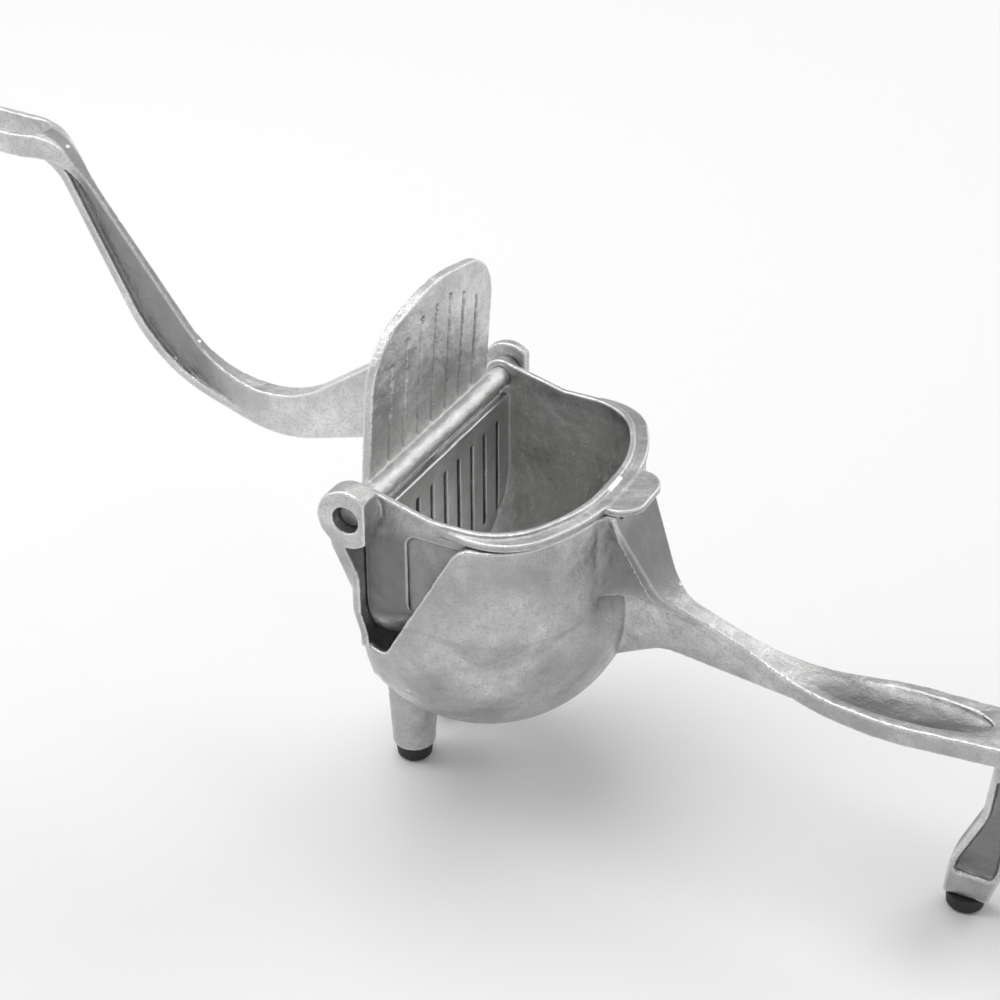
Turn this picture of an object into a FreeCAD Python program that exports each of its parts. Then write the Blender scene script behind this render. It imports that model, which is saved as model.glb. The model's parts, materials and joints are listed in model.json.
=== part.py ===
import FreeCAD, Part
import Sketcher
import math
import os

# Hinged hand press juicer of cast aluminium on three rubber feet.
# Every piece is drawn about the hinge axis (local origin) and lifted by hinge_height,
# so the floor is Z = 0. +X points to the lower handle, Y runs along the hinge pin.

Vector = FreeCAD.Vector
Rotation = FreeCAD.Rotation
Placement = FreeCAD.Placement

doc = FreeCAD.newDocument("hand_press_juicer")

# Driving dimensions in millimetres and degrees
SIZES = {
    # hinge
    "barrel_radius": 3.35, "barrel_overrun": 1.7, "pin_radius": 2.0, "running_gap": 0.06,
    "seat_gap": 0.3, "bore_slack": 0.05, "lug_radius": 9.3, "lug_gap": 0.9,
    "near_lug_thick": 7.7, "far_lug_thick": 3.5, "lug_front": 6.4,
    "pin_head_radius": 3.5, "pin_head_length": 1.2, "head_wall": 2.7, "head_clearance": 0.6,
    "clip_radius": 3.9, "clip_length": 1.4, "clip_slack": 0.025, "pin_end_proud": 0.9,
    "gusset_back": -5.2, "gusset_low": -32.0,
    # body bowl
    "wall": 2.8, "cup_clearance": 0.5, "rim_step": 0.5, "rim_end_gap": 0.4, "waist_bulge": 0.3,
    "hinge_wall_back": -3.2, "hinge_wall_front": -0.4, "hinge_wall_inset": 0.4,
    "hinge_wall_top": -6.0, "rim_top": -3.7, "rim_corner_x": 46.5, "rim_corner_half": 19.0,
    "rim_round_side": 25.0, "rim_round_end": 60.0,
    "bowl_radius": 47.0, "bowl_centre_x": 17.5, "bowl_centre_z": -44.0,
    "waist_z": -36.0, "waist_corner_x": 46.0, "waist_corner_half": 18.5,
    "tuck_z": -66.0, "tuck_half": 37.0, "tuck_end": 52.0, "tuck_corner_x": 38.0,
    "tuck_corner_half": 15.5, "tuck_round_side": 18.0, "tuck_round_end": 42.0,
    "notch_bottom": -50.4, "notch_low_x": 6.2, "notch_rim_x": 32.2, "notch_rise": 0.06,
    "notch_round": 4.0, "notch_lip_round": 8.0, "notch_end_x": 52.0, "notch_high_z": 4.0, "tab_notch_half": 9.5, "tab_notch_depth": 2.2,
    # strainer cup
    "cup_half": 41.8, "cup_straight": 30.0, "cup_reach": 56.8, "cup_wall": 2.1,
    "cup_corner_reach": 44.0, "shell_corner_lead": 1.05, "cup_corner_half": 17.0,
    "cup_round_side": 22.0, "cup_round_end": 52.0,
    "strainer_wall_gap": 1.0, "strainer_wall_thick": 2.2, "strainer_wall_top": -5.6,
    "flange_thick": 2.4, "flange_overhang": 0.3, "flange_lip": 0.2,
    "flange_start_x": 23.0, "flange_corner_x": 47.5, "flange_round_side": 20.0,
    "flange_corner_half": 19.5, "ear_radius": 5.6, "ear_gap": 0.6, "ear_ramp_x": 26.0,
    "slot_width": 2.0, "slot_pitch": 8.55, "slot_top": -12.0, "slot_bottom": -46.0,
    "floor_slot_start": 9.0, "floor_slot_end": 42.0,
    "tab_half": 12.5, "tab_length": 8.7, "tab_step": 0.4, "tab_thick": 2.2, "tab_round": 8.0,
    "panel_start": 14.0, "panel_end": 37.0, "panel_top": -7.0, "panel_bottom": -34.0,
    "panel_depth": 1.1, "panel_round": 3.0,
    # press plate
    "plate_side_gap": 5.4, "plate_end_gap": 3.4, "plate_drop": 6.9, "plate_bottom": -2.0,
    "plate_thick": 3.0, "plate_offset": -2.2, "plate_lean": 4.0,
    "plate_round_side": 19.0, "plate_round_top": 60.0,
    "groove_width": 1.5, "groove_depth": 0.8, "groove_start": 4.0,
    "groove_mid": 44.2, "groove_next": 41.0, "groove_side": 36.0,
    # upper lever blade
    "blade_half": 3.25, "web_half": 1.4, "flange_shift_x": 2.3, "flange_shift_z": 2.2,
    "web_start_x": -62.0, "web_full_x": -88.0, "blade_in": -1.6, "blade_in_z": 33.3,
    "crook_x": -67.2, "crook_z": -12.1, "crook_round": 36.0,
    "neck_x": -131.5, "neck_z": 72.4, "neck_round": 14.0, "blade_end_x": -140.0,
    "blade_end_low": 65.2, "under_neck_x": -131.6, "under_neck_z": 62.4,
    "under_neck_round": 15.0, "elbow_x": -99.8, "elbow_z": 0.3, "elbow_round": 50.0,
    "belly_x": -54.8, "belly_z": -14.6, "belly_round": 42.0, "heel_belly_z": -2.6,
    "heel_in": -3.6, "heel_out": -13.0, "heel_low": -13.0, "heel_high": 1.0,
    # finger loop of the upper lever
    "loop_end": -194.0, "loop_half": 8.2, "loop_round": 7.9, "loop_wide_x": -143.0,
    "loop_blend": 18.0, "loop_narrow_x": -121.0, "loop_foot_x": -106.0, "loop_foot_top": 38.9,
    "loop_foot_low": 30.0, "loop_under_x": -128.0, "loop_under_z": 64.6,
    "loop_end_top": 74.6, "loop_end_low": 68.8, "eye_start": -136.5, "eye_end": -187.0,
    "eye_half": 5.7, "eye_ease": 0.3,
    # lower handle
    "handle_end": 195.0, "root_depth": 5.1, "root_inset": 0.2, "root_rise": 6.0,
    "root_step": 1.0, "shelf_x": 78.5, "shelf_z": -33.4, "shelf_round": 16.0,
    "pad_x": 122.8, "pad_z": -49.8, "pad_round": 70.0, "pad_end_z": -46.6,
    "rib_thick": 2.2, "pad_edge": 6.4, "root_half": 13.0, "root_wide_x": 66.0,
    "flare_x": 52.0, "flare_half": 29.0, "flare_neck_half": 8.0, "root_tip_z": -37.6,
    "root_low_z": -30.0, "rib_half": 3.4, "rib_start_x": 84.0, "rib_end_x": 104.0,
    "pad_half": 11.4, "pad_wide_x": 150.0, "pad_tip_half": 9.4, "pad_tip_round": 8.0,
    "dimple_x": 150.5, "dimple_length": 27.5, "dimple_half": 7.6, "dimple_depth": 2.6,
    "dimple_lift": 1.6, "keel_low_x": 62.0, "keel_low_z": -60.0, "keel_waist_x": 77.0,
    "keel_waist_z": -52.6, "keel_round": 14.0, "keel_mid_x": 140.0, "keel_mid_z": -60.0,
    "keel_inset": 10.0,
    # rear leg
    "leg_setback": 5.6, "leg_top_width": 8.8, "leg_rake": 5.2, "leg_low_width": 13.6,
    "leg_knee_z": -76.0, "knee_rake": 1.8, "shin_height": 13.0, "shin_rake": 1.6,
    "shin_width": 16.4, "leg_round": 16.0, "leg_half": 4.6, "leg_recess": 2.2,
    "leg_rim": 2.2, "leg_bottom": -108.0,
    # front legs and feet
    "front_leg_x": -3.0, "front_leg_y": 13.0, "front_leg_top": -70.0,
    "front_leg_top_radius": 9.0, "front_leg_low_radius": 6.9,
    "rear_foot_inset": 6.4, "foot_height": 5.5, "foot_radius": 5.6, "foot_taper": 0.8,
    "foot_edge": 1.0, "foot_neck_radius": 6.2, "stem_radius": 2.4, "stem_length": 4.0,
}

# Dimensions that follow: each is the sum of the terms it names, a minus subtracts
FOLLOWING = {
    "hinge_height": ("foot_height", "-leg_bottom"),
    # cup, and the bowl, flange, barrel, lugs and plate that fit to it
    "shell_half": ("cup_half", "cup_wall"),
    "shell_reach": ("cup_reach", "cup_wall"),
    "shell_corner_reach": ("cup_corner_reach", "shell_corner_lead"),
    "waist_half": ("shell_half", "cup_clearance", "wall"),
    "rim_half": ("waist_half", "rim_step"),
    "rim_end": ("shell_reach", "wall", "rim_end_gap"),
    "notch_rim_z": ("rim_top", "notch_rise"),
    "waist_end": ("rim_end", "waist_bulge"),
    "hinge_wall_half": ("shell_half", "-hinge_wall_inset"),
    "strainer_wall_back": ("hinge_wall_front", "strainer_wall_gap"),
    "strainer_wall_front": ("strainer_wall_back", "strainer_wall_thick"),
    "flange_bottom": ("rim_top", "seat_gap"),
    "flange_top": ("flange_bottom", "flange_thick"),
    "flange_half": ("rim_half", "flange_overhang"),
    "flange_end": ("rim_end", "flange_lip"),
    "tab_tip": ("flange_end", "tab_length"),
    "tab_top": ("flange_top", "-tab_step"),
    "barrel_half": ("shell_half", "barrel_overrun"),
    "lug_inner": ("barrel_half", "lug_gap"),
    "near_lug_outer": ("lug_inner", "near_lug_thick"),
    "far_lug_outer": ("lug_inner", "far_lug_thick"),
    "ear_outer": ("lug_inner", "-ear_gap"),
    "plate_half": ("cup_half", "-plate_side_gap"),
    "plate_peak": ("cup_reach", "-plate_end_gap"),
    "plate_shoulder": ("plate_peak", "-plate_drop"),
    # pin and clip
    "pin_head_seat": ("lug_inner", "head_wall"),
    "pin_head_end": ("pin_head_seat", "pin_head_length"),
    "counterbore_radius": ("pin_head_radius", "head_clearance"),
    "clip_bore": ("pin_radius", "clip_slack"),
    "clip_far": ("far_lug_outer", "clip_length"),
    "pin_far_end": ("clip_far", "pin_end_proud"),
    # handle, legs and feet
    "root_x": ("rim_end", "-root_depth"),
    "deck_root_x": ("rim_end", "-root_inset"),
    "deck_root_z": ("rim_top", "root_rise"),
    "under_root_x": ("deck_root_x", "root_step"),
    "under_root_z": ("rim_top", "-root_step"),
    "under_shelf_x": ("shelf_x", "-rib_thick"),
    "under_shelf_z": ("shelf_z", "-rib_thick"),
    "pad_under_z": ("pad_z", "-pad_edge"),
    "pad_end_under": ("pad_end_z", "-pad_edge"),
    "dimple_z": ("pad_z", "dimple_lift"),
    "keel_end_x": ("handle_end", "-keel_inset"),
    "leg_right_top": ("handle_end", "-leg_setback"),
    "leg_left_top": ("leg_right_top", "-leg_top_width"),
    "leg_right_low": ("leg_right_top", "-leg_rake"),
    "leg_left_low": ("leg_right_low", "-leg_low_width"),
    "leg_left_knee": ("leg_left_top", "-knee_rake"),
    "leg_right_shin": ("leg_right_top", "-shin_rake"),
    "leg_left_shin": ("leg_right_shin", "-shin_width"),
    "leg_shin_z": ("leg_bottom", "shin_height"),
    "rear_foot_x": ("leg_left_low", "rear_foot_inset"),
    "foot_pad_radius": ("foot_radius", "-foot_taper"),
    "stem_top": ("foot_height", "stem_length"),
    "eye_round": ("eye_half", "-eye_ease"),
}

# Counts that repeat a feature
SLOTS = 9
FLOOR_SLOTS = 7
GROOVES = 7


def size(term):
    """Value of a dimension; a leading minus mirrors it and 0 stays 0."""
    if term == 0:
        return 0.0
    if term.startswith("-"):
        return -SIZES[term[1:]]
    return SIZES[term]


for name, terms in FOLLOWING.items():
    SIZES[name] = sum(size(term) for term in terms)

sheet = doc.addObject("Spreadsheet::Sheet", "Sizes")
for row, (alias, millimetres) in enumerate(SIZES.items(), start=1):
    sheet.set("A%d" % row, alias)
    sheet.set("B%d" % row, repr(millimetres))
    sheet.setAlias("B%d" % row, alias)
doc.recompute()

PLANES = {
    "XY": Rotation(),
    "XZ": Rotation(Vector(1, 0, 0), 90),
    "YZ": Rotation(Vector(1, 1, 1), 120),
}


def bound(term):
    """The same dimension as an expression on the spreadsheet."""
    if term == 0:
        return "0"
    if term.startswith("-"):
        return "-Sizes." + term[1:]
    return "Sizes." + term


def bind(piece, **expressions):
    """Bind properties; a double underscore stands for the dot in a property path."""
    for name, expression in expressions.items():
        piece.setExpression(name.replace("__", "."), expression)
    return piece


def outline(name, plane, corners, holder=None):
    """Closed sketch of straight runs whose corners are rounded by tangent arcs.

    Each corner is (first coordinate, second coordinate, radius or None)."""
    if holder is None:
        sketch = doc.addObject("Sketcher::SketchObject", name)
        sketch.Placement = Placement(Vector(), PLANES[plane])
    else:
        sketch = holder.newObject("Sketcher::SketchObject", name)
        support = [f for f in holder.Origin.OriginFeatures if f.Role == plane + "_Plane"][0]
        sketch.AttachmentSupport = [(support, "")]
        sketch.MapMode = "FlatFace"

    spots = [Vector(size(c[0]), size(c[1]), 0) for c in corners]
    count = len(corners)
    entries, exits, arcs = [], [], []
    for i, corner in enumerate(corners):
        here = spots[i]
        back = (spots[i - 1] - here).normalize()
        ahead = (spots[(i + 1) % count] - here).normalize()
        if corner[2] is None:
            entries.append(here)
            exits.append(here)
            arcs.append(None)
            continue
        radius = size(corner[2])
        half_angle = back.getAngle(ahead) / 2
        reach = radius / math.tan(half_angle)
        entries.append(here + back * reach)
        exits.append(here + ahead * reach)
        centre = here + (back + ahead).normalize() * (radius / math.sin(half_angle))
        left_turn = ahead.cross(back).z > 0
        first, last = (entries[i], exits[i]) if left_turn else (exits[i], entries[i])
        angles = [math.atan2(p.y - centre.y, p.x - centre.x) for p in (first, last)]
        circle = Part.Circle(centre, Vector(0, 0, 1), radius)
        arcs.append((Part.ArcOfCircle(circle, angles[0], angles[1]), left_turn))

    lines, bends = [], []
    for i in range(count):
        start, end = exits[i], entries[(i + 1) % count]
        lines.append(sketch.addGeometry(Part.LineSegment(start, end), False))
    for arc in arcs:
        bends.append(None if arc is None else sketch.addGeometry(arc[0], False))

    for i, corner in enumerate(corners):
        before, after = lines[i - 1], lines[i]
        if bends[i] is None:
            sketch.addConstraint(Sketcher.Constraint("Coincident", before, 2, after, 1))
            anchor, anchor_point = after, 1
        else:
            first, last = (1, 2) if arcs[i][1] else (2, 1)
            sketch.addConstraint(Sketcher.Constraint("Tangent", before, 2, bends[i], first))
            sketch.addConstraint(Sketcher.Constraint("Tangent", bends[i], last, after, 1))
            anchor, anchor_point = sketch.addGeometry(Part.Point(spots[i]), True), 1
            sketch.addConstraint(Sketcher.Constraint("PointOnObject", anchor, 1, before))
            sketch.addConstraint(Sketcher.Constraint("PointOnObject", anchor, 1, after))
            k = sketch.addConstraint(Sketcher.Constraint("Radius", bends[i], size(corner[2])))
            sketch.setExpression("Constraints[%d]" % k, bound(corner[2]))
        for kind, term in (("DistanceX", corner[0]), ("DistanceY", corner[1])):
            rule = Sketcher.Constraint(kind, -1, 1, anchor, anchor_point, size(term))
            k = sketch.addConstraint(rule)
            if term != 0:
                sketch.setExpression("Constraints[%d]" % k, bound(term))
    return sketch


def mirrored(corners):
    """Corners of one half followed by the same corners mirrored in the second coordinate."""
    flipped = []
    for first, second, radius in reversed(corners):
        other = second[1:] if second.startswith("-") else "-" + second
        flipped.append((first, other, radius))
    return corners + flipped


def slab(name, sketch, length, middle=True):
    """Solid swept square to a sketch, to both sides of it when middle is set."""
    solid = doc.addObject("Part::Extrusion", name)
    solid.Base = sketch
    solid.DirMode = "Normal"
    solid.Solid = True
    solid.Symmetric = middle
    bind(solid, LengthFwd=length)
    return solid


def block(name, x, y, z):
    """Box between expression pairs along each axis."""
    solid = doc.addObject("Part::Box", name)
    for axis, side, (low, high) in zip("xyz", ("Length", "Width", "Height"), (x, y, z)):
        solid.setExpression("Placement.Base." + axis, low)
        solid.setExpression(side, "(%s) - (%s)" % (high, low))
    return solid


def rod(name, radius, low, high, x="0", z="0"):
    """Cylinder along Y between two expressions."""
    solid = doc.addObject("Part::Cylinder", name)
    solid.Placement.Rotation = Rotation(Vector(1, 0, 0), -90)
    bind(solid, Radius=radius, Height="(%s) - (%s)" % (high, low), Placement__Base__x=x,
         Placement__Base__y=low, Placement__Base__z=z)
    return solid


def join(name, pieces):
    solid = doc.addObject("Part::MultiFuse", name)
    solid.Shapes = pieces
    solid.Refine = True
    return solid


def cut(name, base, tool):
    solid = doc.addObject("Part::Cut", name)
    solid.Base = base
    solid.Tool = tool
    solid.Refine = True
    return solid


def common(name, pieces):
    solid = doc.addObject("Part::MultiCommon", name)
    solid.Shapes = pieces
    return solid


def finish(solid, label, z="Sizes.hinge_height", x="0", y="0"):
    """Name a finished piece and put it in its place above the floor."""
    solid.Label = label
    bind(solid, Placement__Base__x=x, Placement__Base__y=y, Placement__Base__z=z)
    return solid


def foot_sockets(name):
    """Blind bores for the stems of the three feet."""
    bores = []
    places = (("Sizes.front_leg_x", "-Sizes.front_leg_y"),
              ("Sizes.front_leg_x", "Sizes.front_leg_y"),
              ("Sizes.rear_foot_x", "0"))
    for i, (x, y) in enumerate(places):
        bore = doc.addObject("Part::Cylinder", "%s_%d" % (name, i + 1))
        bind(bore, Radius="Sizes.stem_radius + Sizes.bore_slack",
             Height="Sizes.stem_length + Sizes.seat_gap", Placement__Base__x=x,
             Placement__Base__y=y, Placement__Base__z="Sizes.leg_bottom")
        bores.append(bore)
    return bores


def bowl_section(level, height, rounds="rim"):
    """Level outline of the bowl: straight sides, then arcs round the handle end."""
    sketch = outline(level + "_outline", "XY", mirrored([
        ("hinge_wall_back", "-" + level + "_half", None),
        (level + "_corner_x", "-" + level + "_half", rounds + "_round_side"),
        (level + "_end", "-" + level + "_corner_half", rounds + "_round_end")]))
    return bind(sketch, Placement__Base__z="Sizes." + height)


def bowl_shell():
    """Walls from the rim to the waist and the round bottom below, with their hollow."""
    sections = [bowl_section("rim", "rim_top"), bowl_section("waist", "waist_z"),
                bowl_section("tuck", "tuck_z", "tuck")]
    insets = []
    for sketch in sections:
        inset = doc.addObject("Part::Offset2D", sketch.Name + "_inset")
        inset.Source = sketch
        inset.Join = 2
        insets.append(bind(inset, Value="-Sizes.wall"))

    def stack(name, outlines):
        """Straight-sided lofts between neighbouring outlines."""
        lofts = []
        for i, (upper, lower) in enumerate(zip(outlines, outlines[1:])):
            loft = doc.addObject("Part::Loft", "%s_%d" % (name, i + 1))
            loft.Sections = [upper, lower]
            loft.Solid = True
            loft.Ruled = True
            lofts.append(loft)
        return lofts

    balls = []
    for name, radius in (("bowl_ball", "Sizes.bowl_radius"),
                         ("hollow_ball", "Sizes.bowl_radius - Sizes.wall")):
        ball = doc.addObject("Part::Sphere", name)
        bind(ball, Radius=radius, Placement__Base__x="Sizes.bowl_centre_x",
             Placement__Base__z="Sizes.bowl_centre_z")
        balls.append(ball)
    keep = block("bowl_keep", ("Sizes.hinge_wall_back", "100"), ("-60", "60"),
                 ("-100", "Sizes.rim_top"))
    hollow_keep = block("hollow_keep", ("Sizes.hinge_wall_front", "100"), ("-60", "60"),
                        ("-100", "10"))
    outer = common("bowl_outer", [join("bowl_mass", stack("bowl_wall", sections) + [balls[0]]), keep])
    lid = block("hollow_mouth", ("Sizes.hinge_wall_front", "Sizes.cup_straight"),
                ("-Sizes.waist_half + Sizes.wall", "Sizes.waist_half - Sizes.wall"),
                ("Sizes.rim_top - 3", "Sizes.rim_top + 5"))
    inner = common("bowl_hollow",
                   [join("hollow_mass", stack("hollow_wall", insets) + [balls[1], lid]), hollow_keep])
    return outer, inner


def lower_handle():
    """Ribbed handle: a deck of changing width carried by a thin keel."""
    deck_side = outline("deck_side", "XZ", [
        ("root_x", "deck_root_z", None), ("deck_root_x", "deck_root_z", None),
        ("shelf_x", "shelf_z", "shelf_round"), ("pad_x", "pad_z", "pad_round"),
        ("handle_end", "pad_end_z", None), ("handle_end", "pad_end_under", None),
        ("pad_x", "pad_under_z", "pad_round"), ("under_shelf_x", "under_shelf_z", "shelf_round"),
        ("under_root_x", "under_root_z", None), ("root_x", "under_root_z", None)])
    deck_plan = outline("deck_plan", "XY", mirrored([
        ("root_x", "-root_half", None), ("root_wide_x", "-root_half", "rib_half"),
        ("rib_start_x", "-rib_half", "root_half"), ("rib_end_x", "-rib_half", "pad_round"),
        ("pad_wide_x", "-pad_half", "pad_round"), ("handle_end", "-pad_tip_half",
                                                  "pad_tip_round")]))
    bind(deck_plan, Placement__Base__z="-80")
    deck = common("handle_deck", [slab("deck_band", deck_side, "2 * Sizes.root_half + 2"),
                                  slab("deck_column", deck_plan, "100", middle=False)])
    keel_side = outline("keel_side", "XZ", [
        ("root_x", "deck_root_z", None), ("deck_root_x", "deck_root_z", None),
        ("shelf_x", "shelf_z", "shelf_round"), ("pad_x", "pad_z", "pad_round"),
        ("keel_end_x", "pad_z", None), ("leg_right_top", "keel_mid_z", None),
        ("keel_mid_x", "keel_mid_z", "pad_round"),
        ("keel_waist_x", "keel_waist_z", "keel_round"), ("keel_low_x", "keel_low_z", None)])
    keel = slab("handle_keel", keel_side, "2 * Sizes.web_half")
    root_side = outline("root_side", "XZ", [
        ("root_x", "deck_root_z", None), ("deck_root_x", "deck_root_z", None),
        ("shelf_x", "shelf_z", "shelf_round"), ("rib_start_x", "root_tip_z", None),
        ("root_x", "root_low_z", "shelf_round"), ("flare_x", "root_low_z", None)])
    root_plan = outline("root_plan", "XY", mirrored([
        ("flare_x", "-flare_half", None), ("root_wide_x", "-flare_neck_half", "shelf_round"),
        ("rib_start_x", "-rib_half", None)]))
    bind(root_plan, Placement__Base__z="-80")
    root = common("handle_root", [slab("root_band", root_side, "2 * Sizes.flare_half"),
                                  slab("root_column", root_plan, "100", middle=False)])
    return [deck, keel, root]


def rear_leg():
    """Blade leg under the handle, hollowed on both sides between its rims."""
    leg_side = outline("leg_side", "XZ", [
        ("leg_left_top", "pad_z", None), ("leg_right_top", "pad_z", None),
        ("leg_right_shin", "leg_shin_z", None), ("leg_right_low", "leg_bottom", None),
        ("leg_left_low", "leg_bottom", None), ("leg_left_shin", "leg_shin_z", "leg_round"),
        ("leg_left_knee", "leg_knee_z", "leg_round")])
    leg = slab("leg_blank", leg_side, "2 * Sizes.leg_half")
    shrunk = doc.addObject("Part::Offset2D", "leg_inset")
    shrunk.Source = leg_side
    shrunk.Join = 2
    bind(shrunk, Value="-Sizes.leg_rim")
    hollow = common("leg_hollow", [
        slab("leg_inner", shrunk, "2 * Sizes.leg_half"),
        block("leg_window", ("Sizes.leg_left_low", "Sizes.leg_right_top"),
              ("-Sizes.leg_half", "Sizes.leg_half"),
              ("Sizes.leg_bottom + 9", "Sizes.keel_mid_z - 3"))])
    core = block("leg_core", ("Sizes.leg_left_low", "Sizes.leg_right_top"),
                 ("-Sizes.leg_half + Sizes.leg_recess", "Sizes.leg_half - Sizes.leg_recess"),
                 ("Sizes.leg_bottom", "Sizes.pad_z"))
    return cut("rear_leg", leg, cut("leg_pockets", hollow, core))


def front_legs():
    legs = []
    for side, y in (("near", "-Sizes.front_leg_y"), ("far", "Sizes.front_leg_y")):
        leg = doc.addObject("Part::Cone", "front_leg_" + side)
        bind(leg, Radius1="Sizes.front_leg_low_radius", Radius2="Sizes.front_leg_top_radius",
             Height="Sizes.front_leg_top - Sizes.leg_bottom",
             Placement__Base__x="Sizes.front_leg_x", Placement__Base__y=y,
             Placement__Base__z="Sizes.leg_bottom")
        legs.append(leg)
    return legs


def hinge_lugs():
    """Rings and gussets at both ends of the hinge wall."""
    near = [rod("near_ring", "Sizes.lug_radius", "-Sizes.near_lug_outer", "-Sizes.lug_inner")]
    far = [rod("far_ring", "Sizes.lug_radius", "Sizes.lug_inner", "Sizes.far_lug_outer")]
    for name, side, outer in (("near", "-", "near_lug_outer"), ("far", "", "far_lug_outer")):
        web = outline(name + "_gusset", "YZ", [
            (side + "hinge_wall_half", "hinge_wall_top", None),
            (side + "lug_inner", "hinge_wall_top", None), (side + "lug_inner", 0, None),
            (side + outer, 0, None), (side + outer, "-lug_radius", None),
            (side + "hinge_wall_half", "gusset_low", None)])
        bind(web, Placement__Base__x="Sizes.gusset_back")
        group = near if name == "near" else far
        group.append(slab(name + "_gusset_web", web,
                          "Sizes.hinge_wall_front - Sizes.gusset_back", middle=False))
    return near + far


def outer_body():
    """Cast body: bowl, hinge wall with lugs, pouring notches, legs and lower handle."""
    bowl, hollow = bowl_shell()
    wall = block("hinge_wall", ("Sizes.hinge_wall_back", "Sizes.hinge_wall_front"),
                 ("-Sizes.hinge_wall_half", "Sizes.hinge_wall_half"),
                 ("Sizes.notch_bottom - 1", "Sizes.hinge_wall_top"))
    lug_trim = block("lug_trim", ("Sizes.lug_front", "20"),
                     ("-Sizes.near_lug_outer", "Sizes.near_lug_outer"), ("-12", "12"))
    wall_trim = block("wall_trim", ("-20", "Sizes.hinge_wall_front"),
                      ("-Sizes.lug_inner", "Sizes.lug_inner"),
                      ("Sizes.hinge_wall_top", "12"))
    notch = slab("notch_cut", outline("notch_outline", "XZ", [
        ("hinge_wall_front", "notch_high_z", None), ("hinge_wall_front", "notch_bottom", None),
        ("notch_low_x", "notch_bottom", "notch_round"),
        ("notch_rim_x", "notch_rim_z", "notch_lip_round"), ("notch_end_x", "notch_rim_z", None),
        ("notch_end_x", "notch_high_z", None)]), "120")
    notched = cut("notched_bowl", join("bowl_and_wall", [bowl, wall]), notch)
    tab_notch = block("tab_notch", ("Sizes.rim_end - 5", "Sizes.rim_end + 12"),
                      ("-Sizes.tab_notch_half", "Sizes.tab_notch_half"),
                      ("Sizes.rim_top - Sizes.tab_notch_depth", "Sizes.rim_top + 20"))
    deck_trim = block("deck_trim", ("Sizes.root_x - 5", "Sizes.handle_end"), ("-30", "30"),
                      ("Sizes.rim_top", "40"))
    dimple = doc.addObject("Part::Ellipsoid", "thumb_dimple")
    dimple.Angle1 = -90
    bind(dimple, Radius1="Sizes.dimple_depth", Radius2="Sizes.dimple_length",
         Radius3="Sizes.dimple_half", Placement__Base__x="Sizes.dimple_x",
         Placement__Base__z="Sizes.dimple_z")
    pin_holes = [
        rod("pin_hole", "Sizes.pin_radius + Sizes.bore_slack", "-Sizes.near_lug_outer - 1",
            "Sizes.near_lug_outer"),
        rod("counterbore", "Sizes.counterbore_radius", "-Sizes.near_lug_outer - 1",
            "-Sizes.pin_head_seat")]
    mass = join("body_mass", [notched] + lower_handle() + [rear_leg()] + front_legs()
                + hinge_lugs())
    voids = join("body_voids", [hollow, lug_trim, wall_trim, tab_notch, deck_trim, dimple]
                 + pin_holes + foot_sockets("foot_socket"))
    return finish(cut("outer_body", mass, voids), "outer_body")


def cup_profile(name, wall_out):
    """Section turned about the hinge: straight sides, then round to the far end."""
    prefix = "shell_" if wall_out else "cup_"
    return outline(name, "XY", mirrored([
        ("strainer_wall_back", "-" + prefix + "half", None),
        (prefix + "corner_reach", "-" + prefix + "half", "cup_round_side"),
        (prefix + "reach", "-" + "cup_corner_half", "cup_round_end")]))


def turned(name, sketch, angle):
    """Solid of revolution about the hinge axis, downwards from the rim plane."""
    solid = doc.addObject("Part::Revolution", name)
    solid.Source = sketch
    solid.Axis = Vector(0, 1, 0)
    solid.Base = Vector(0, 0, 0)
    solid.Angle = angle
    solid.Solid = True
    return solid


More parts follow.
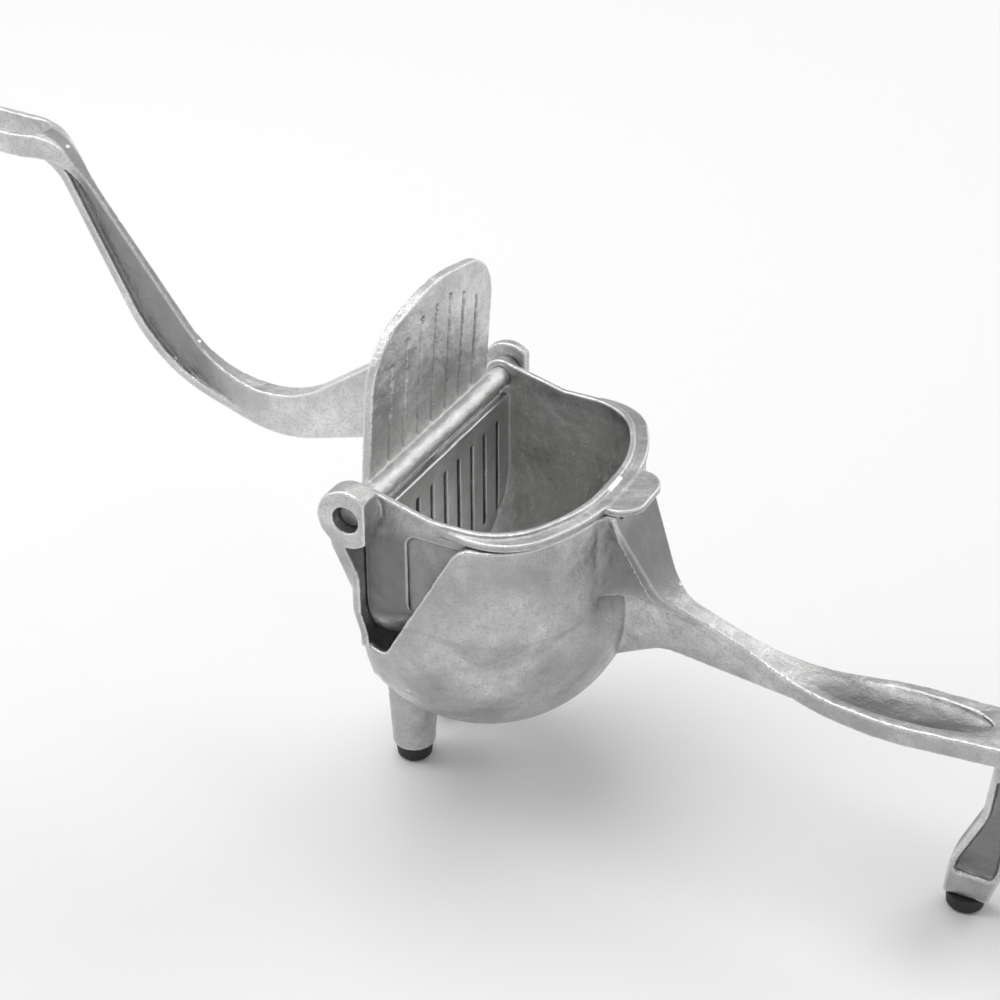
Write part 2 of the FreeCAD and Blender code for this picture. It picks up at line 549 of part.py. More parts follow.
def strainer_cup():
    """Slotted cup with ears on the hinge barrel, a rim flange and a lift tab."""
    shell = turned("cup_shell", cup_profile("shell_section", True), 90)
    space = turned("cup_space", cup_profile("space_section", False), 100)
    flange = slab("cup_flange", outline("flange_outline", "XY", mirrored([
        ("strainer_wall_back", "-shell_half", None), ("flange_start_x", "-shell_half", None),
        ("flange_corner_x", "-flange_half", "flange_round_side"),
        ("flange_end", "-flange_corner_half", "rim_round_end")])),
        "Sizes.flange_top - Sizes.flange_bottom", middle=False)
    bind(flange.Base, Placement__Base__z="Sizes.flange_bottom")
    tab = slab("lift_tab", outline("tab_outline", "XY", mirrored([
        ("cup_reach", "-tab_half", None), ("tab_tip", "-tab_half", "tab_round")])),
        "Sizes.tab_thick", middle=False)
    bind(tab.Base, Placement__Base__z="Sizes.tab_top - Sizes.tab_thick")

    ears, bores = [], []
    for side, low, high in (("near", "-Sizes.ear_outer", "-Sizes.cup_half"),
                            ("far", "Sizes.cup_half", "Sizes.ear_outer")):
        ears.append(rod(side + "_ear", "Sizes.ear_radius", low, high))
        ramp = outline(side + "_ramp", "XZ", [
            (0, "ear_radius", None), ("ear_ramp_x", "flange_top", None),
            ("ear_ramp_x", "panel_top", None), ("strainer_wall_back", "panel_top", None),
            (0, "-ear_radius", None)])
        ramp_solid = slab(side + "_ramp_wall", ramp, "Sizes.cup_wall")
        centre = "Sizes.cup_half + Sizes.cup_wall / 2"
        bind(ramp, Placement__Base__y=centre if side == "far" else "-(%s)" % centre)
        ears.append(ramp_solid)
    bores.append(rod("barrel_bore", "Sizes.barrel_radius + Sizes.running_gap",
                     "-Sizes.near_lug_outer", "Sizes.near_lug_outer"))

    wall = block("strainer_wall", ("Sizes.strainer_wall_back", "Sizes.strainer_wall_front"),
                 ("-Sizes.shell_half", "Sizes.shell_half"),
                 ("-Sizes.cup_reach", "Sizes.strainer_wall_top"))
    space_keep = block("space_keep", ("Sizes.strainer_wall_front", "80"), ("-50", "50"),
                       ("-80", "10"))
    wall_fit = common("wall_in_shell", [wall, turned("wall_shell", doc.getObject(
        "shell_section"), 100)])
    mouth_trim = block("mouth_trim", ("-8", "Sizes.strainer_wall_front"),
                       ("-Sizes.cup_half", "Sizes.cup_half"),
                       ("Sizes.strainer_wall_top", "10"))

    slots = []
    for i in range(SLOTS):
        place = "%d * Sizes.slot_pitch" % (i - SLOTS // 2)
        slots.append(block("wall_slot_%d" % (i + 1), ("-1", "Sizes.strainer_wall_front + 1"),
                           (place + " - Sizes.slot_width / 2", place + " + Sizes.slot_width / 2"),
                           ("Sizes.slot_bottom", "Sizes.slot_top")))
    for i in range(FLOOR_SLOTS):
        place = "%d * Sizes.slot_pitch" % (i - FLOOR_SLOTS // 2)
        slots.append(block("floor_slot_%d" % (i + 1),
                           ("Sizes.floor_slot_start", "Sizes.floor_slot_end"),
                           (place + " - Sizes.slot_width / 2", place + " + Sizes.slot_width / 2"),
                           ("-70", "-24")))

    panels = []
    for side, sign in (("near", "-"), ("far", "")):
        panel = outline(side + "_panel", "XZ", [
            ("panel_start", "panel_top", "panel_round"), ("panel_end", "panel_top", "panel_round"),
            ("panel_end", "panel_bottom", "panel_round"),
            ("panel_start", "panel_bottom", "panel_round")])
        bind(panel, Placement__Base__y=sign + "(Sizes.cup_half + Sizes.cup_wall)")
        panels.append(slab(side + "_panel_cut", panel, "2 * Sizes.panel_depth"))

    mass = join("cup_mass", [shell, flange, tab, wall_fit] + ears)
    voids = join("cup_voids", [common("cup_room", [space, space_keep]), mouth_trim]
                 + bores + slots + panels)
    return finish(cut("strainer_cup", mass, voids), "strainer_cup")


def press_plate():
    """Leaning plate with rounded shoulders and upright grooves in its face."""
    tilt = Rotation(Vector(0, 1, 0), SIZES["plate_lean"])
    face = outline("plate_outline", "YZ", [
        ("-plate_half", "plate_bottom", None), ("plate_half", "plate_bottom", None),
        ("plate_half", "plate_shoulder", "plate_round_side"),
        (0, "plate_peak", "plate_round_top"),
        ("-plate_half", "plate_shoulder", "plate_round_side")])
    face.Placement = Placement(Vector(), tilt * PLANES["YZ"])
    bind(face, Placement__Base__x="Sizes.plate_offset - Sizes.plate_thick")
    plate = slab("plate_blank", face, "Sizes.plate_thick", middle=False)
    grooves = []
    for i in range(GROOVES):
        rank = i - GROOVES // 2
        top = {0: "groove_mid", 1: "groove_mid", 2: "groove_next", 3: "groove_side"}[abs(rank)]
        groove = doc.addObject("Part::Box", "groove_%d" % (i + 1))
        groove.Placement.Rotation = tilt
        bind(groove, Length="2 * Sizes.groove_depth", Width="Sizes.groove_width",
             Height="Sizes.%s - Sizes.groove_start" % top,
             Placement__Base__x="Sizes.plate_offset - Sizes.groove_depth"
                                " + Sizes.groove_start * tan(Sizes.plate_lean * 1 deg)",
             Placement__Base__y="%d * Sizes.slot_pitch - Sizes.groove_width / 2" % rank,
             Placement__Base__z="Sizes.groove_start")
        grooves.append(groove)
    return plate, grooves


def lever_blade():
    """Curved blade with a bottom flange, full width near the plate and thin beyond."""
    corners = [
        ("blade_in", "blade_in_z", None), ("crook_x", "crook_z", "crook_round"),
        ("neck_x", "neck_z", "neck_round"), ("blade_end_x", "neck_z", None),
        ("blade_end_x", "blade_end_low", None),
        ("under_neck_x", "under_neck_z", "under_neck_round"),
        ("elbow_x", "elbow_z", "elbow_round"), ("belly_x", "belly_z", "belly_round"),
        ("heel_out", "heel_belly_z", None), ("heel_in", "heel_high", None)]
    blank = slab("blade_blank", outline("blade_side", "XZ", corners), "2 * Sizes.blade_half")
    raised = outline("blade_raised", "XZ", corners)
    bind(raised, Placement__Base__x="Sizes.flange_shift_x",
         Placement__Base__z="Sizes.flange_shift_z")
    raised_blank = slab("raised_blank", raised, "4 * Sizes.blade_half")
    thinning = outline("web_plan", "XY", mirrored([
        ("blade_end_x", "-web_half", None), ("web_full_x", "-web_half", None),
        ("web_start_x", "-blade_half", None), ("heel_in", "-blade_half", None)]))
    bind(thinning, Placement__Base__z="-30")
    web = slab("web_column", thinning, "120", middle=False)
    recess = cut("blade_recess", raised_blank, web)
    heel = block("lever_heel", ("Sizes.heel_out", "Sizes.heel_in"),
                 ("-Sizes.blade_half", "Sizes.blade_half"), ("Sizes.heel_low", "Sizes.heel_high"))
    return blank, recess, heel


def finger_loop():
    """Oval ring that the blade widens into, and the column that opens its eye."""
    side = outline("loop_side", "XZ", [
        ("loop_foot_x", "loop_foot_top", None), ("neck_x", "neck_z", "neck_round"),
        ("loop_end", "loop_end_top", None), ("loop_end", "loop_end_low", None),
        ("loop_under_x", "loop_under_z", "under_neck_round"),
        ("loop_foot_x", "loop_foot_low", None)])
    plan = outline("loop_plan", "XY", mirrored([
        ("loop_end", "-loop_half", "loop_round"), ("loop_wide_x", "-loop_half", "loop_blend"),
        ("loop_narrow_x", "-web_half", "loop_blend"), ("loop_foot_x", "-web_half", None)]))
    eye = outline("eye_outline", "XY", mirrored([
        ("eye_end", "-eye_half", "eye_round"), ("eye_start", "-eye_half", "eye_round")]))
    ring = common("finger_ring", [slab("loop_band", side, "2 * Sizes.loop_half + 2"),
                                  slab("loop_column", plan, "100", middle=False)])
    column = slab("eye_column", eye, "100", middle=False)
    bind(eye, Placement__Base__z="10")
    return ring, column


def press_lever():
    """Casting of plate, hinge barrel, blade and finger loop."""
    plate, grooves = press_plate()
    blade, recess, heel = lever_blade()
    ring, eye = finger_loop()
    barrel = rod("hinge_barrel", "Sizes.barrel_radius", "-Sizes.barrel_half",
                 "Sizes.barrel_half")
    bore = rod("pin_bore", "Sizes.pin_radius + Sizes.running_gap", "-Sizes.barrel_half - 1",
               "Sizes.barrel_half + 1")
    arm = cut("lever_arm", blade, recess)
    mass = join("lever_mass", [plate, arm, heel, ring, barrel])
    voids = join("lever_voids", [eye, bore] + grooves)
    return finish(cut("press_lever", mass, voids), "press_lever")


def turned_body(name, corners):
    """Turned part as a body: a half section in the XY plane revolved about Y."""
    body = doc.addObject("PartDesign::Body", name)
    section = outline(name + "_section", "XY", corners, holder=body)
    turn = body.newObject("PartDesign::Revolution", name + "_turn")
    turn.Profile = section
    turn.ReferenceAxis = (section, ["V_Axis"])
    turn.Angle = 360
    body.Tip = turn
    return body


def hinge_pin():
    """Headed pin through the lugs, the ears and the barrel."""
    pin = turned_body("hinge_pin", [
        (0, "-pin_head_end", None), ("pin_head_radius", "-pin_head_end", None),
        ("pin_head_radius", "-pin_head_seat", None), ("pin_radius", "-pin_head_seat", None),
        ("pin_radius", "pin_far_end", None), (0, "pin_far_end", None)])
    return finish(pin, "hinge_pin")


def pin_clip():
    """Push-on ring that holds the pin at the far lug."""
    clip = turned_body("pin_clip", [
        ("clip_bore", "far_lug_outer", None), ("clip_radius", "far_lug_outer", None),
        ("clip_radius", "clip_far", None), ("clip_bore", "clip_far", None)])
    return finish(clip, "pin_clip")


def rubber_foot(name, x, y):
    """Rubber foot with a stem pressed into the leg; its flat underside is on the floor."""
    body = doc.addObject("PartDesign::Body", name)
    section = outline(name + "_section", "XZ", [
        (0, 0, None), ("foot_pad_radius", 0, None), ("foot_radius", "foot_edge", None),
        ("foot_neck_radius", "foot_height", None), ("stem_radius", "foot_height", None),
        ("stem_radius", "stem_top", None), (0, "stem_top", None)], holder=body)
    turn = body.newObject("PartDesign::Revolution", name + "_turn")
    turn.Profile = section
    turn.ReferenceAxis = (section, ["V_Axis"])
    turn.Angle = 360
    body.Tip = turn
    return finish(body, name, z="0", x=x, y=y)


NODES = [outer_body(), strainer_cup(), press_lever(), hinge_pin(), pin_clip(),
         rubber_foot("front_foot_near", "Sizes.front_leg_x", "-Sizes.front_leg_y"),
         rubber_foot("front_foot_far", "Sizes.front_leg_x", "Sizes.front_leg_y"),
         rubber_foot("rear_foot", "Sizes.rear_foot_x", "0")]
doc.recompute()

os.makedirs("parts", exist_ok=True)
for item in doc.Objects:
    if "Invalid" in item.State or "Error" in item.State:
        raise RuntimeError("%s did not build: %s" % (item.Name, item.State))
for node in NODES:
    if node.Shape.isNull() or not node.Shape.isValid() or len(node.Shape.Solids) != 1:
        raise RuntimeError("%s has %d solids" % (node.Label, len(node.Shape.Solids)))
    node.Shape.exportStep("parts/%s.step" % node.Label)
    print(node.Label, round(node.Shape.Volume), node.Shape.BoundBox)
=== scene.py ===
"""Hand press juicer of cast aluminium: castings softened, finished and lit as in a studio."""
import json
import math

import bpy
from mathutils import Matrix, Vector

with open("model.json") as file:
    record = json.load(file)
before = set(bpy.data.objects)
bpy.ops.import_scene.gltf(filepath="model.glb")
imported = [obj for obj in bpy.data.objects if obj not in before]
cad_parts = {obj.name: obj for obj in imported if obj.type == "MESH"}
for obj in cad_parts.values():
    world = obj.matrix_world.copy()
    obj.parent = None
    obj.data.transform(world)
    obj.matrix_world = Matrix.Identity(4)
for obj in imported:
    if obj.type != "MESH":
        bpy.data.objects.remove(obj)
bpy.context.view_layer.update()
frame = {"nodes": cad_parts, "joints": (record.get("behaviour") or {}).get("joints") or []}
nodes = frame["nodes"]
HINGE = Vector(frame["joints"][0]["pos_m"])

# Castings: edge length of the surface grid and how far its corners are rounded, in metres
# and in passes of the smoothing
GRID = {"outer_body": 0.00042, "strainer_cup": 0.00040, "press_lever": 0.00038}
SOFTENING = {"outer_body": 15, "strainer_cup": 5, "press_lever": 6}
SMOOTH_FACTOR = 0.5

# Rounded edges of the pin, the clip and the feet
EDGE_ROUND = 0.0004
EDGE_SEGMENTS = 3
EDGE_ANGLE = math.radians(35)

# Boxes of painted shade and painted light on the castings: low and high corner from the hinge,
# and how softly the painted shade and light end along each axis
# Painted shade on the lever's blade, where its face is turned from the light
BLADE_RECESS = ((-0.210, -0.0024, -0.02), (-0.070, 0.0024, 0.08), (0.012, 0.0006, 0.001))
# Painted shade in the thumb hollow, on the handle's root and in the leg pockets
THUMB_HOLLOW = ((0.127, -0.0062, -0.060), (0.174, 0.0062, -0.042), (0.006, 0.0018, 0.001))
HANDLE_ROOT = ((0.058, -0.0150, -0.034), (0.079, 0.0150, -0.004), (0.006, 0.004, 0.006))
LEG_POCKETS = ((0.160, -0.0030, -0.104), (0.195, 0.0030, -0.062), (0.002, 0.0006, 0.003))
# Painted shade on the cup's near and far outer sides
NEAR_CUP_SIDE = ((-0.01, -0.0445, -0.06), (0.060, -0.0428, -0.0065), (0.001, 0.0004, 0.003))
FAR_CUP_SIDE = ((-0.01, 0.0428, -0.06), (0.060, 0.0445, -0.0065), (0.001, 0.0004, 0.003))
# Painted light inside the cup, and a painted highlight on the lever's barrel
CUP_INSIDE = ((0.0026, -0.0420, -0.058), (0.0570, 0.0420, -0.0040), (0.0003, 0.0003, 0.002))
BARREL_PAINTED_HIGHLIGHT = ((-0.0036, -0.046, -0.0036), (0.0036, 0.046, 0.0036), (0.0004, 0.0004, 0.0004))

# Noises: grains per metre, detail and roughness
CLOUD = (38.0, 5.0, 0.55)
SWELL = (85.0, 2.0, 0.4)
MOTTLE = (260.0, 4.0, 0.55)
FINE = (1300.0, 3.0, 0.65)
SPECK = (3200.0, 2.0, 0.6)
PIN_RINGS = (900.0, 2.0, 0.5)
PIN_STAIN = (420.0, 4.0, 0.55)
RUBBER_DUST = (700.0, 5.0, 0.55)
RUBBER_GRAIN = (2600.0, 3.0, 0.55)
RINGS_STRETCH = (0.2, 6.0, 0.2)

# Ranges: where a measure starts and ends to tell, and what it gives there
CLOUD_SHOWS = (0.35, 0.65, 0.0, 1.0)
MOTTLE_SHOWS = (0.40, 0.70, 0.0, 0.40)
FINE_SHOWS = (0.48, 0.72, 0.0, 0.65)
# Convex edges painted lighter: a painted highlight
EDGE_HIGHLIGHT = (0.508, 0.545, 0.0, 0.8)
STAIN_SHOWS = (0.4, 0.7, 0.0, 0.7)
RINGS_ROUGH = (0.3, 0.7, 0.28, 0.46)
DUST_SHOWS = (0.45, 0.75, 0.0, 0.5)
DUST_ROUGH = (0.3, 0.7, 0.5, 0.75)

# Pointiness at which painted shade in a hollow starts and ends, and noise that moves the
# roughness
HOLLOW_POINTINESS = (0.488, 0.44)
ROUGH_NOISE = (0.3, 0.7)
SMOOTHER, ROUGHER = 0.07, 0.09
EDGE_SHEEN = 0.16

# Shades of a casting as shares of its tone, with painted shade for boxes and hollows, fixed greys
# for a painted highlight on edges and painted light in boxes, and how strongly a box mask paints
# shade and light
BLUE_SHARE = 0.992
DARK_SHARE, PALE_SHARE, PIT_SHARE = 0.66, 1.12, 0.5
PAINTED_SHADE_SHARE, HOLLOW_SHADE_SHARE = 0.34, 0.4
EDGE_HIGHLIGHT_GREY = (0.92, 0.92, 0.92)
PAINTED_LIGHT_GREY = (0.90, 0.90, 0.89)
PAINTED_SHADE_STRENGTH, PAINTED_LIGHT_STRENGTH = 0.9, 0.5
STEEL, STEEL_STAIN = (0.30, 0.30, 0.31), (0.16, 0.155, 0.15)
RUBBER, RUBBER_BLOOM = (0.012, 0.012, 0.013), (0.06, 0.06, 0.058)

# Relief: shares of speck, mottle and swell in the bumps; strength and depth in metres
SPECK_RELIEF, MOTTLE_RELIEF, SWELL_RELIEF = 0.5, 2.4, 9.0
CAST_BUMP = (0.8, 0.00025)
FINE_BUMP = (0.3, 0.0001)

# Camera: azimuth, elevation, place relative to the hinge, lens and the sensor it is for
AZIMUTH = math.radians(27.28)
ELEVATION = math.radians(32.01)
CAMERA_FROM_HINGE = Vector((0.2684, -0.4789, 0.3199))
LENS = 75.75
SENSOR = 36.0
CLIP_START = 0.01

# Studio: pale floor that fades to the backdrop between two distances, in metres
FLOOR = 0.90
FLOOR_BLUE = 1.003
FLOOR_ROUGHNESS = 0.9
FLOOR_SPECULAR = 0.1
FLOOR_SIZE = 12.0
FLOOR_FADE = (0.55, 1.3)

# Sky: grey of the ceiling, heights of aim between which it darkens, strength as light and as seen
HORIZON = (1.0, 1.0, 1.0)
CEILING = (0.36, 0.36, 0.36)
SKY_RISE = (0.02, 0.55)
SKY_LIGHTS, SKY_SHOWS = 0.88, 1.0

# Softboxes: place, width and height, watts
SOFTBOXES = {"top_softbox": ((-0.4, 0.1, 1.7), (1.7, 1.4), 19.5),
             "left_softbox": ((-1.5, -0.5, 1.0), (0.9, 1.0), 6.0),
             "back_softbox": ((0.9, 1.7, 1.5), (1.4, 1.0), 12.0)}

# A colour Mix node names several sockets alike: its two colours in and its colour out
MIX_FIRST, MIX_SECOND, MIX_RESULT = 6, 7, 2


def node_tree(name):
    """Fresh node material with its surface shader; returns material, tree and shader."""
    material = bpy.data.materials.new(name)
    material.use_nodes = True
    tree = material.node_tree
    return material, tree, tree.nodes["Principled BSDF"]


def feed(tree, socket, value):
    """Links another node's socket to this one, or sets it to a plain value."""
    if isinstance(value, bpy.types.NodeSocket):
        tree.links.new(value, socket)
    else:
        socket.default_value = value


def place(tree, kind, **sockets):
    """New node whose named inputs are fed."""
    node = tree.nodes.new(kind)
    for name, value in sockets.items():
        feed(tree, node.inputs[name], value)
    return node


def noise(tree, scale, detail, roughness, stretch=(1, 1, 1)):
    """Noise in the piece's own metres; scale is in grains per metre."""
    spot = place(tree, "ShaderNodeTexCoord").outputs["Object"]
    mapping = place(tree, "ShaderNodeMapping", Vector=spot, Scale=stretch)
    texture = place(tree, "ShaderNodeTexNoise", Vector=mapping.outputs["Vector"],
                    Scale=scale, Detail=detail, Roughness=roughness)
    return texture.outputs["Fac"]


def remap(tree, source, low, high, to_low, to_high):
    """Takes low to to_low and high to to_high, evenly between them and held beyond."""
    node = place(tree, "ShaderNodeMapRange", Value=source)
    for name, value in (("From Min", low), ("From Max", high), ("To Min", to_low),
                        ("To Max", to_high)):
        node.inputs[name].default_value = value
    return node.outputs["Result"]


def combine(tree, operation, first, second):
    """Arithmetic on two values or sockets."""
    node = tree.nodes.new("ShaderNodeMath")
    node.operation = operation
    feed(tree, node.inputs[0], first)
    feed(tree, node.inputs[1], second)
    return node.outputs["Value"]


def mix_colour(tree, factor, first, second):
    """First colour where the factor is 0, second where it is 1; each a socket or an RGB."""
    node = tree.nodes.new("ShaderNodeMix")
    node.data_type = "RGBA"
    tree.links.new(factor, node.inputs["Factor"])
    for number, colour in ((MIX_FIRST, first), (MIX_SECOND, second)):
        opaque = (*colour, 1.0) if isinstance(colour, tuple) else colour
        feed(tree, node.inputs[number], opaque)
    return node.outputs[MIX_RESULT]


def shade(colour, share):
    """The colour times a share, never above white."""
    return tuple(min(1.0, channel * share) for channel in colour)


def box_mask(tree, low, high, fade):
    """1 inside a box given from the hinge, 0 outside it, with a soft border on each axis."""
    coords = place(tree, "ShaderNodeTexCoord").outputs["Object"]
    spot = place(tree, "ShaderNodeSeparateXYZ", Vector=coords)
    inside = None
    for axis in range(3):
        for edge, sense in ((low[axis], 1.0), (high[axis], -1.0)):
            edge += HINGE[axis]
            soft = sense * fade[axis]
            side = remap(tree, spot.outputs[axis], edge - soft, edge + soft, 0.0, 1.0)
            inside = side if inside is None else combine(tree, "MINIMUM", inside, side)
    return inside


def tint_boxes(tree, base, boxes, strength, colour):
    """The base colour with the given colour painted inside each box, as painted shade or painted
    light.
    """
    for low, high, fade in boxes:
        factor = combine(tree, "MULTIPLY", box_mask(tree, low, high, fade), strength)
        base = mix_colour(tree, factor, base, colour)
    return base


def add_bumps(tree, shader, height, strength, distance):
    """Relief of the given height on the shader's surface."""
    bump = place(tree, "ShaderNodeBump", Height=height, Strength=strength, Distance=distance)
    tree.links.new(bump.outputs["Normal"], shader.inputs["Normal"])


def cast_aluminium(name, tone, roughness, grain, hollow_shade, painted_shade_boxes=(), painted_light_boxes=()):
    """Tumbled casting: cloudy tone, sandy grain, painted highlight on edges, painted shade in
    hollows and boxes, painted light in boxes.
    """
    material, tree, shader = node_tree(name)
    cloud = noise(tree, *CLOUD)
    swell = noise(tree, *SWELL)
    mottle = noise(tree, *MOTTLE)
    fine = noise(tree, *FINE)
    speck = noise(tree, *SPECK)

    colour = (tone, tone, tone * BLUE_SHARE)
    dark = shade(colour, DARK_SHARE)
    base = mix_colour(tree, remap(tree, cloud, *CLOUD_SHOWS), dark, shade(colour, PALE_SHARE))
    base = mix_colour(tree, remap(tree, mottle, *MOTTLE_SHOWS), base, dark)
    base = mix_colour(tree, remap(tree, fine, *FINE_SHOWS), base, shade(colour, PIT_SHARE))
    # Painted shade inside the shade boxes
    base = tint_boxes(tree, base, painted_shade_boxes, PAINTED_SHADE_STRENGTH, shade(colour, PAINTED_SHADE_SHARE))
    # Painted light inside the light boxes
    base = tint_boxes(tree, base, painted_light_boxes, PAINTED_LIGHT_STRENGTH, PAINTED_LIGHT_GREY)

    edges = place(tree, "ShaderNodeNewGeometry").outputs["Pointiness"]
    # Painted highlight on convex edges; the same mask also lowers the roughness there
    edge_highlight = remap(tree, edges, *EDGE_HIGHLIGHT)
    # Painted shade in hollows and creases
    hollow = remap(tree, edges, *HOLLOW_POINTINESS, 0.0, hollow_shade)
    base = mix_colour(tree, edge_highlight, base, EDGE_HIGHLIGHT_GREY)
    base = mix_colour(tree, hollow, base, shade(colour, HOLLOW_SHADE_SHARE))
    tree.links.new(base, shader.inputs["Base Color"])
    shader.inputs["Metallic"].default_value = 1.0

    rough = remap(tree, mottle, *ROUGH_NOISE, roughness - SMOOTHER, roughness + ROUGHER)
    sheen = combine(tree, "MULTIPLY", edge_highlight, EDGE_SHEEN)
    tree.links.new(combine(tree, "SUBTRACT", rough, sheen), shader.inputs["Roughness"])

    height = combine(tree, "MULTIPLY", fine, grain)
    for source, share in ((speck, grain * SPECK_RELIEF), (mottle, MOTTLE_RELIEF * grain),
                          (swell, SWELL_RELIEF)):
        height = combine(tree, "ADD", height, combine(tree, "MULTIPLY", source, share))
    add_bumps(tree, shader, height, *CAST_BUMP)
    return material


def pin_steel():
    """Turned steel with fine rings and small stains."""
    material, tree, shader = node_tree("pin_steel_finish")
    rings = noise(tree, *PIN_RINGS, RINGS_STRETCH)
    stain = remap(tree, noise(tree, *PIN_STAIN), *STAIN_SHOWS)
    tree.links.new(mix_colour(tree, stain, STEEL, STEEL_STAIN), shader.inputs["Base Color"])
    shader.inputs["Metallic"].default_value = 1.0
    tree.links.new(remap(tree, rings, *RINGS_ROUGH), shader.inputs["Roughness"])
    add_bumps(tree, shader, rings, *FINE_BUMP)
    return material


def foot_rubber():
    """Black moulded rubber with a dusty bloom."""
    material, tree, shader = node_tree("foot_rubber_finish")
    dust = noise(tree, *RUBBER_DUST)
    base = mix_colour(tree, remap(tree, dust, *DUST_SHOWS), RUBBER, RUBBER_BLOOM)
    tree.links.new(base, shader.inputs["Base Color"])
    tree.links.new(remap(tree, dust, *DUST_ROUGH), shader.inputs["Roughness"])
    add_bumps(tree, shader, noise(tree, *RUBBER_GRAIN), *FINE_BUMP)
    return material


def soften_casting(piece, grid, passes):
    """Even fine surface whose corners are rounded as a casting's are."""
    remesh = piece.modifiers.new("cast_grid", "REMESH")
    remesh.mode = "VOXEL"
    remesh.voxel_size = grid * 1.0
    remesh.use_smooth_shade = True
    smooth = piece.modifiers.new("cast_fillets", "SMOOTH")
    smooth.factor = SMOOTH_FACTOR
    smooth.iterations = passes // 1


def bevel_edges(piece):
    """Small rounded edges on a turned or moulded piece."""
    bevel = piece.modifiers.new("edge_round", "BEVEL")
    bevel.width = EDGE_ROUND
    bevel.segments = EDGE_SEGMENTS
    bevel.limit_method = "ANGLE"
    bevel.angle_limit = EDGE_ANGLE


def finish_nodes():
    """Gives every CAD node its material and its rounded edges; feet are what is not named."""
    steel, rubber = pin_steel(), foot_rubber()
    # Per casting: strength of the painted shade in hollows, boxes of painted shade and boxes of
    # painted light
    finishes = {
        "outer_body": cast_aluminium("cast_body_finish", tone=0.61, roughness=0.35, grain=0.9,
                                     hollow_shade=0.5,
                                     painted_shade_boxes=(THUMB_HOLLOW, HANDLE_ROOT, LEG_POCKETS)),
        "strainer_cup": cast_aluminium("cast_cup_finish", tone=0.54, roughness=0.43, grain=0.8,
                                       hollow_shade=0.5, painted_shade_boxes=(NEAR_CUP_SIDE, FAR_CUP_SIDE),
                                       painted_light_boxes=(CUP_INSIDE,)),
        "press_lever": cast_aluminium("cast_lever_finish", tone=0.74, roughness=0.36, grain=1.2,
                                      hollow_shade=0.85, painted_shade_boxes=(BLADE_RECESS,),
                                      painted_light_boxes=(BARREL_PAINTED_HIGHLIGHT,)),
        "hinge_pin": steel, "pin_clip": steel}
    for name, piece in nodes.items():
        piece.data.materials.clear()
        piece.data.materials.append(finishes.get(name, rubber))
        if name in GRID:
            soften_casting(piece, GRID[name], SOFTENING[name])
        else:
            bevel_edges(piece)


def seen_directly(tree):
    """1 for camera, glossy and transmission rays, 0 for the rays that light the object."""
    path = tree.nodes.new("ShaderNodeLightPath").outputs
    seen = combine(tree, "MAXIMUM", path["Is Camera Ray"], path["Is Glossy Ray"])
    return combine(tree, "MAXIMUM", seen, path["Is Transmission Ray"])


def blend_shaders(tree, factor, first, second):
    """First shader where the factor is 0, second where it is 1."""
    blend = tree.nodes.new("ShaderNodeMixShader")
    for socket, source in zip(blend.inputs, (factor, first, second)):
        tree.links.new(source, socket)
    return blend.outputs["Shader"]


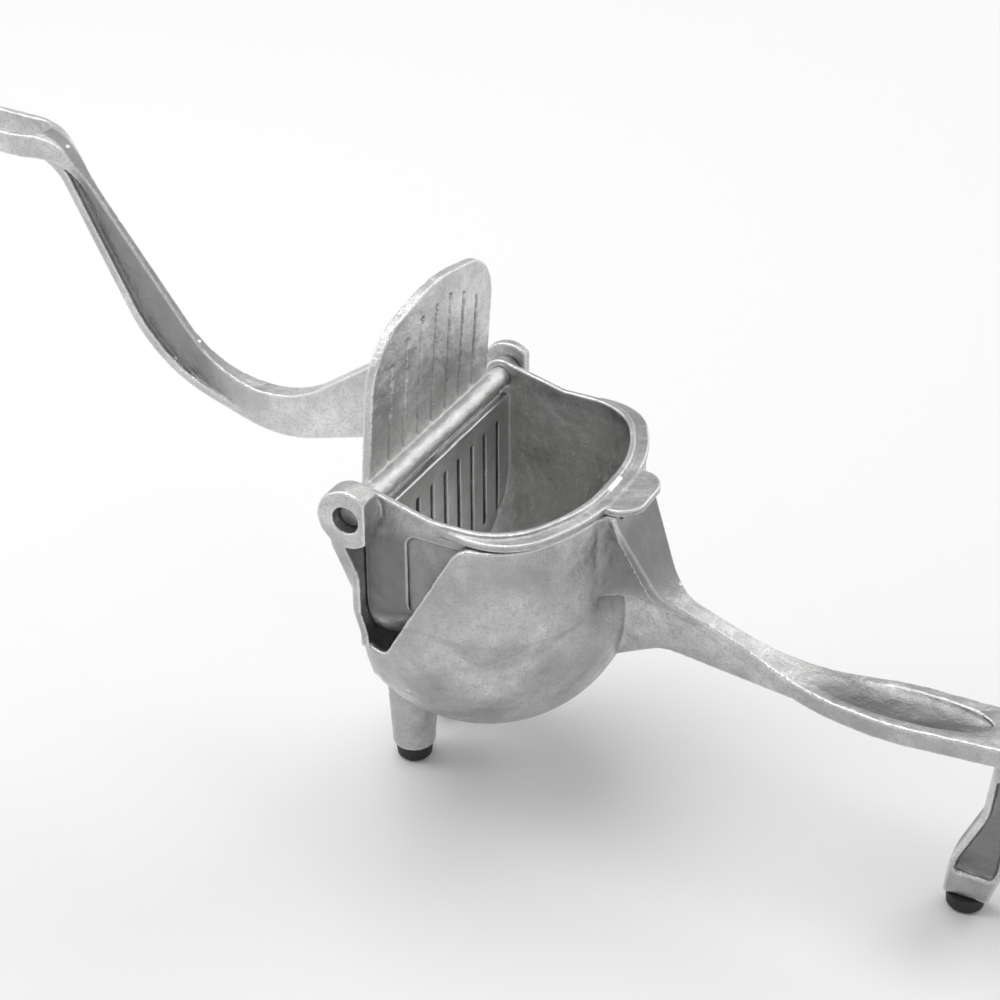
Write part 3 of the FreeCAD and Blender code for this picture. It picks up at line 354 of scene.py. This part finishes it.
def build_floor():
    """Plain pale floor with the object's shadow, fading to the white backdrop far off."""
    bpy.ops.mesh.primitive_plane_add(size=FLOOR_SIZE)
    floor = bpy.context.object
    floor.name = "studio_floor"
    material, tree, shader = node_tree("floor_white")
    shader.inputs["Base Color"].default_value = (FLOOR, FLOOR, FLOOR * FLOOR_BLUE, 1.0)
    shader.inputs["Roughness"].default_value = FLOOR_ROUGHNESS
    shader.inputs["Specular IOR Level"].default_value = FLOOR_SPECULAR
    backdrop = tree.nodes.new("ShaderNodeEmission")
    reach = tree.nodes.new("ShaderNodeVectorMath")
    reach.operation = "LENGTH"
    feed(tree, reach.inputs[0], place(tree, "ShaderNodeTexCoord").outputs["Object"])
    far = remap(tree, reach.outputs["Value"], *FLOOR_FADE, 0.0, 1.0)
    blend = blend_shaders(tree, combine(tree, "MULTIPLY", far, seen_directly(tree)),
                          shader.outputs["BSDF"], backdrop.outputs["Emission"])
    tree.links.new(blend, tree.nodes["Material Output"].inputs["Surface"])
    floor.data.materials.append(material)


def build_world():
    """Bright low down as the floor is, greyer towards the ceiling."""
    world = bpy.data.worlds.new("studio")
    bpy.context.scene.world = world
    world.use_nodes = True
    tree = world.node_tree
    aim = place(tree, "ShaderNodeTexCoord").outputs["Generated"]
    rise = place(tree, "ShaderNodeSeparateXYZ", Vector=aim).outputs["Z"]
    sky = mix_colour(tree, remap(tree, rise, *SKY_RISE, 0.0, 1.0), HORIZON, CEILING)
    lit = tree.nodes["Background"]
    tree.links.new(sky, lit.inputs["Color"])
    lit.inputs["Strength"].default_value = SKY_LIGHTS
    shown = place(tree, "ShaderNodeBackground", Color=sky, Strength=SKY_SHOWS)
    out = blend_shaders(tree, seen_directly(tree), lit.outputs["Background"],
                        shown.outputs["Background"])
    tree.links.new(out, tree.nodes["World Output"].inputs["Surface"])


def build_softbox(name, spot, size, watts):
    """Area lamp that looks at the hinge."""
    light = bpy.data.lights.new(name, "AREA")
    light.shape = "RECTANGLE"
    light.size, light.size_y = size
    light.energy = watts
    lamp = bpy.data.objects.new(name, light)
    bpy.context.scene.collection.objects.link(lamp)
    lamp.location = spot
    lamp.rotation_euler = (HINGE - Vector(spot)).to_track_quat("-Z", "Y").to_euler()


def build_camera():
    """Camera at the photograph's place and angle."""
    data = bpy.data.cameras.new("photo_camera")
    data.lens = LENS
    data.sensor_width = SENSOR
    data.clip_start = CLIP_START
    camera = bpy.data.objects.new("photo_camera", data)
    bpy.context.scene.collection.objects.link(camera)
    ahead = Vector((-math.sin(AZIMUTH) * math.cos(ELEVATION),
                    math.cos(AZIMUTH) * math.cos(ELEVATION), -math.sin(ELEVATION)))
    camera.location = HINGE + CAMERA_FROM_HINGE
    camera.rotation_euler = ahead.to_track_quat("-Z", "Y").to_euler()
    bpy.context.scene.camera = camera


finish_nodes()
build_floor()
build_world()
for name, (spot, size, watts) in SOFTBOXES.items():
    build_softbox(name, spot, size, watts)
build_camera()
bpy.context.scene.view_settings.view_transform = "Standard"
